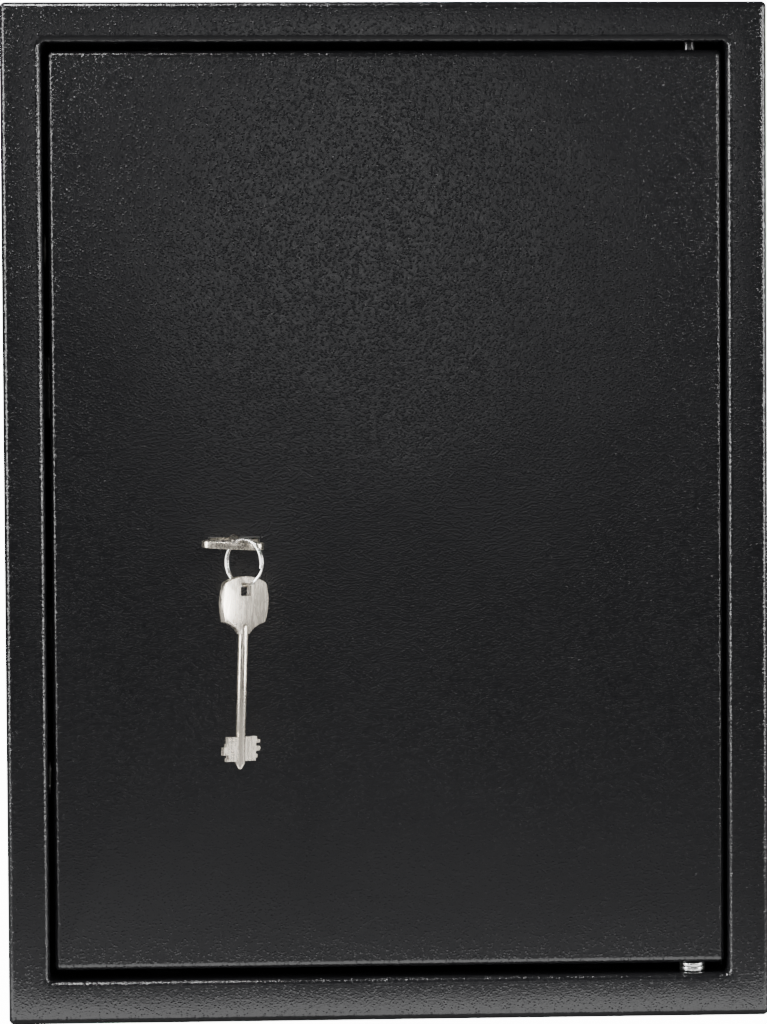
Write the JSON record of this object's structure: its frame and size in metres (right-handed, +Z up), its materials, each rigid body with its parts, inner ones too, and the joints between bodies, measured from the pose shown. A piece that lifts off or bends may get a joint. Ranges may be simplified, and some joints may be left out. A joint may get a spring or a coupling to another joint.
{
  "type": "wall safe",
  "caption": "Shallow rectangular steel wall safe with a framed front, a key-locked door on concealed pin hinges, sliding bolts, a shelf, and two keys on a split ring.",
  "frame": {"origin": "middle of the back face that goes against the wall", "axes": "+Z up, +Y into the wall, so the door faces -Y; +X to the right of someone facing the door, the hinge side"},
  "size_m": [0.36, 0.2164, 0.48],
  "materials": {
    "black_powder_coat": "fine textured powder coat, low sheen",
    "zinc_plated_steel": "bright zinc plating, satin",
    "nickel_plated_steel": "satin nickel plating",
    "brass": "bare stamped brass",
    "felt": "needled felt"
  },
  "bodies": {
    "case": {"body_shell": "black_powder_coat", "back_panel": "black_powder_coat", "door_stop_upper": "black_powder_coat", "door_stop_lower": "black_powder_coat", "hinge_pin_upper": "black_powder_coat", "hinge_pin_lower": "black_powder_coat", "hinge_washer_thick": "zinc_plated_steel", "hinge_washer_thin": "zinc_plated_steel", "shelf": "black_powder_coat", "shelf_bracket_left": "black_powder_coat", "shelf_bracket_right": "black_powder_coat", "base_mat": "felt"},
    "door": {"door_panel": "black_powder_coat", "inner_cover": "black_powder_coat", "cover_screw_1": "zinc_plated_steel", "cover_screw_2": "zinc_plated_steel", "cover_screw_3": "zinc_plated_steel", "cover_screw_4": "zinc_plated_steel", "cover_screw_5": "zinc_plated_steel", "cover_screw_6": "zinc_plated_steel", "hinge_block_upper": "zinc_plated_steel", "hinge_block_lower": "zinc_plated_steel", "lock_case": "zinc_plated_steel", "lock_cover": "zinc_plated_steel", "lock_post_1": "zinc_plated_steel", "lock_post_2": "zinc_plated_steel", "lock_post_3": "zinc_plated_steel", "lock_post_4": "zinc_plated_steel", "lock_screw_1": "zinc_plated_steel", "lock_screw_2": "zinc_plated_steel", "lock_screw_3": "zinc_plated_steel", "lock_screw_4": "zinc_plated_steel", "lever_post": "zinc_plated_steel", "lever_1": "brass", "lever_2": "brass", "lever_3": "brass", "lever_4": "brass", "lever_5": "brass", "lever_spring_comb": "brass", "bolt_bush_upper": "brass", "bolt_bush_lower": "brass", "guide_post_upper": "zinc_plated_steel", "guide_post_lower": "zinc_plated_steel", "guide_collar_upper": "zinc_plated_steel", "guide_collar_lower": "zinc_plated_steel"},
    "boltwork": {"bolt_carrier": "zinc_plated_steel", "bolt_upper": "zinc_plated_steel", "bolt_lower": "zinc_plated_steel", "lock_bolt": "zinc_plated_steel"},
    "curtain": {"key_curtain": "zinc_plated_steel"},
    "key": {"key_in_lock": "nickel_plated_steel"},
    "ring": {"split_ring": "nickel_plated_steel"},
    "spare": {"spare_key": "nickel_plated_steel"}
  },
  "joints": [
    {"name": "door_swing", "type": "hinge", "parent": "case", "child": "door", "pos_m": [0.1445, -0.14, 0], "axis": [0, 0, 1], "range_deg": [0, 110]},
    {"name": "key_turn", "type": "hinge", "parent": "door", "child": "curtain", "pos_m": [-0.0725, -0.147, -0.0125], "axis": [0, 1, 0], "range_deg": [-3, 177]},
    {"name": "boltwork_throw", "type": "slide", "parent": "door", "child": "boltwork", "axis": [-1, 0, 0], "range_m": [-0.00026, 0.0157]},
    {"name": "key_withdraw", "type": "slide", "parent": "curtain", "child": "key", "axis": [0, -1, 0], "range_m": [0, 0.04]},
    {"name": "ring_swing", "type": "hinge", "parent": "key", "child": "ring", "pos_m": [-0.0675, -0.2053, -0.0201], "axis": [0.6561, 0.7547, 0], "range_deg": [-30, 30]},
    {"name": "spare_swing", "type": "hinge", "parent": "ring", "child": "spare", "pos_m": [-0.0675, -0.2053, -0.0306], "axis": [0.7547, -0.6561, 0], "range_deg": [-25, 25]}
  ],
  "couplings": [
    {"joint": "key_turn", "follows": "boltwork_throw", "rad_per_m": 196.35}
  ]
}
